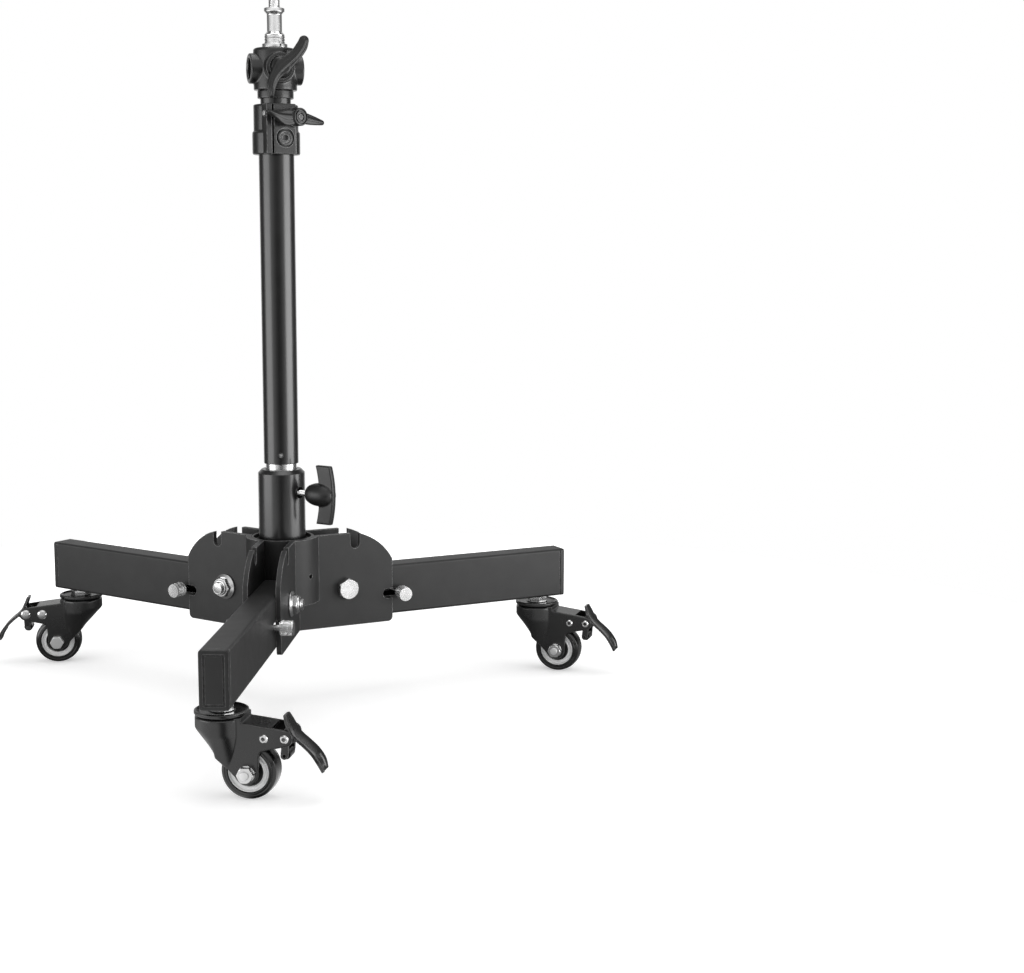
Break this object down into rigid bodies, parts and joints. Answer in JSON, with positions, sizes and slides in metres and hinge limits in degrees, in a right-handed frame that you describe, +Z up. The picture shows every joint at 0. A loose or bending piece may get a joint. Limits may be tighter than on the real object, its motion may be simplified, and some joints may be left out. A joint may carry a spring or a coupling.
{
  "type": "roller stand for lights",
  "caption": "Low roller stand for lights: a short telescopic column with a clamp and a spigot head on a folding base of box legs with braked swivel casters.",
  "frame": {"origin": "bottom centre of the box round the whole stand, on the floor; the column's axis stands 60.5 mm behind it, at +Y", "axes": "+Z up along the column, the front leg points along -Y, +X to the right seen from the front"},
  "size_m": [0.5598, 0.399, 0.5645],
  "materials": {
    "black_coat": "satin black powder coat, fine grain",
    "black_tube": "semi-gloss black coat on drawn tube",
    "black_cast": "satin black coat on a casting",
    "black_plastic": "moulded black plastic, lightly textured",
    "black_rubber": "smooth black rubber",
    "chrome": "polished chrome plate",
    "zinc": "bright zinc plate",
    "pale_rim": "pale pressed steel"
  },
  "bodies": {
    "root": {"hub_plate_1": "black_coat", "hub_plate_2": "black_coat", "hub_plate_3": "black_coat", "hub_tube": "black_coat", "base_socket": "black_tube", "pivot_bolt_1": "zinc", "pivot_nut_1": "zinc", "pivot_bolt_2": "zinc", "pivot_nut_2": "zinc", "pivot_bolt_3": "zinc", "pivot_nut_3": "zinc"},
    "leg_1": {"leg_tube_1": "black_coat", "leg_cap_1": "black_plastic", "caster_stem_1": "black_coat"},
    "leg_2": {"leg_tube_2": "black_coat", "leg_cap_2": "black_plastic", "caster_stem_2": "black_coat"},
    "leg_3": {"leg_tube_3": "black_coat", "leg_cap_3": "black_plastic", "caster_stem_3": "black_coat"},
    "lock_1": {"lock_pin_1": "zinc", "lock_knob_1": "zinc"},
    "lock_2": {"lock_pin_2": "zinc", "lock_knob_2": "zinc"},
    "lock_3": {"lock_pin_3": "zinc", "lock_knob_3": "zinc"},
    "caster_1": {"caster_fork_1": "black_coat", "caster_axle_1": "zinc", "axle_nut_1": "zinc"},
    "caster_2": {"caster_fork_2": "black_coat", "caster_axle_2": "zinc", "axle_nut_2": "zinc"},
    "caster_3": {"caster_fork_3": "black_coat", "caster_axle_3": "zinc", "axle_nut_3": "zinc"},
    "wheel_1": {"caster_tyre_1": "black_rubber", "caster_wheel_1": "pale_rim"},
    "wheel_2": {"caster_tyre_2": "black_rubber", "caster_wheel_2": "pale_rim"},
    "wheel_3": {"caster_tyre_3": "black_rubber", "caster_wheel_3": "pale_rim"},
    "brake_1": {"brake_pedal_1": "black_coat", "brake_pad_1": "black_rubber"},
    "brake_2": {"brake_pedal_2": "black_coat", "brake_pad_2": "black_rubber"},
    "brake_3": {"brake_pedal_3": "black_coat", "brake_pad_3": "black_rubber"},
    "socket_knob": {"socket_knob": "black_plastic"},
    "column": {"outer_tube": "black_tube", "base_spigot": "chrome", "clamp_body": "black_cast", "clamp_bolt": "zinc", "clamp_screw": "black_cast"},
    "clamp_lever": {"clamp_lever": "black_plastic"},
    "inner_mast": {"inner_tube": "black_tube", "head_collar": "black_cast", "head_body": "black_cast"},
    "head_lever": {"head_lever": "black_plastic"},
    "spigot": {"spigot": "chrome"}
  },
  "joints": [
    {"name": "leg_fold_1", "type": "hinge", "parent": "root", "child": "leg_1", "pos_m": [0.00024, 0.01045, 0.093], "axis": [-1, 0, 0], "range_deg": [0, 90]},
    {"name": "leg_fold_2", "type": "hinge", "parent": "root", "child": "leg_2", "pos_m": [-0.04306, 0.08545, 0.093], "axis": [0.5, 0.866, 0], "range_deg": [0, 90]},
    {"name": "leg_fold_3", "type": "hinge", "parent": "root", "child": "leg_3", "pos_m": [0.04355, 0.08545, 0.093], "axis": [0.5, -0.866, 0], "range_deg": [0, 90]},
    {"name": "lock_slide_1", "type": "slide", "parent": "leg_1", "child": "lock_1", "axis": [0, -1, 0], "range_m": [-0.0119, 0]},
    {"name": "lock_slide_2", "type": "slide", "parent": "leg_2", "child": "lock_2", "axis": [-0.866, 0.5, 0], "range_m": [-0.0119, 0]},
    {"name": "lock_slide_3", "type": "slide", "parent": "leg_3", "child": "lock_3", "axis": [0.866, 0.5, 0], "range_m": [-0.0119, 0]},
    {"name": "caster_swivel_1", "type": "hinge", "parent": "leg_1", "child": "caster_1", "pos_m": [0.00024, -0.17755, 0.05], "axis": [0, 0, 1], "continuous": true},
    {"name": "caster_swivel_2", "type": "hinge", "parent": "leg_2", "child": "caster_2", "pos_m": [-0.20587, 0.17945, 0.05], "axis": [0, 0, 1], "continuous": true},
    {"name": "caster_swivel_3", "type": "hinge", "parent": "leg_3", "child": "caster_3", "pos_m": [0.20636, 0.17945, 0.05], "axis": [0, 0, 1], "continuous": true},
    {"name": "wheel_spin_1", "type": "hinge", "parent": "caster_1", "child": "wheel_1", "pos_m": [0.02083, -0.17971, 0.02], "axis": [0.1045, 0.9945, 0], "continuous": true},
    {"name": "wheel_spin_2", "type": "hinge", "parent": "caster_2", "child": "wheel_2", "pos_m": [-0.22625, 0.17586, 0.02], "axis": [0.1736, -0.9848, 0], "continuous": true},
    {"name": "wheel_spin_3", "type": "hinge", "parent": "caster_3", "child": "wheel_3", "pos_m": [0.22644, 0.17445, 0.02], "axis": [0.2419, 0.9703, 0], "continuous": true},
    {"name": "brake_pedal_1", "type": "hinge", "parent": "caster_1", "child": "brake_1", "pos_m": [0.04748, -0.18251, 0.0456], "axis": [0.1045, 0.9945, 0], "range_deg": [0, 40]},
    {"name": "brake_pedal_2", "type": "hinge", "parent": "caster_2", "child": "brake_2", "pos_m": [-0.25265, 0.17121, 0.0456], "axis": [0.1736, -0.9848, 0], "range_deg": [0, 40]},
    {"name": "brake_pedal_3", "type": "hinge", "parent": "caster_3", "child": "brake_3", "pos_m": [0.25245, 0.16796, 0.0456], "axis": [0.2419, 0.9703, 0], "range_deg": [0, 40]},
    {"name": "socket_knob_turn", "type": "hinge", "parent": "root", "child": "socket_knob", "pos_m": [0.00024, 0.06045, 0.17598], "axis": [0.8829, -0.4695, 0], "continuous": true},
    {"name": "column_lift", "type": "slide", "parent": "root", "child": "column", "axis": [0, 0, 1], "range_m": [0, 0.08]},
    {"name": "clamp_lever_turn", "type": "hinge", "parent": "column", "child": "clamp_lever", "pos_m": [0.00024, 0.06045, 0.47378], "axis": [0.766, -0.6428, 0], "range_deg": [-40, 40]},
    {"name": "mast_extend", "type": "slide", "parent": "column", "child": "inner_mast", "axis": [0, 0, 1], "range_m": [0, 0.19]},
    {"name": "head_lever_turn", "type": "hinge", "parent": "inner_mast", "child": "head_lever", "pos_m": [0.00024, 0.06045, 0.51148], "axis": [0.3907, -0.9205, 0], "range_deg": [-45, 45]},
    {"name": "spigot_lift", "type": "slide", "parent": "inner_mast", "child": "spigot", "axis": [0, 0, 1], "range_m": [0, 0.02]}
  ]
}
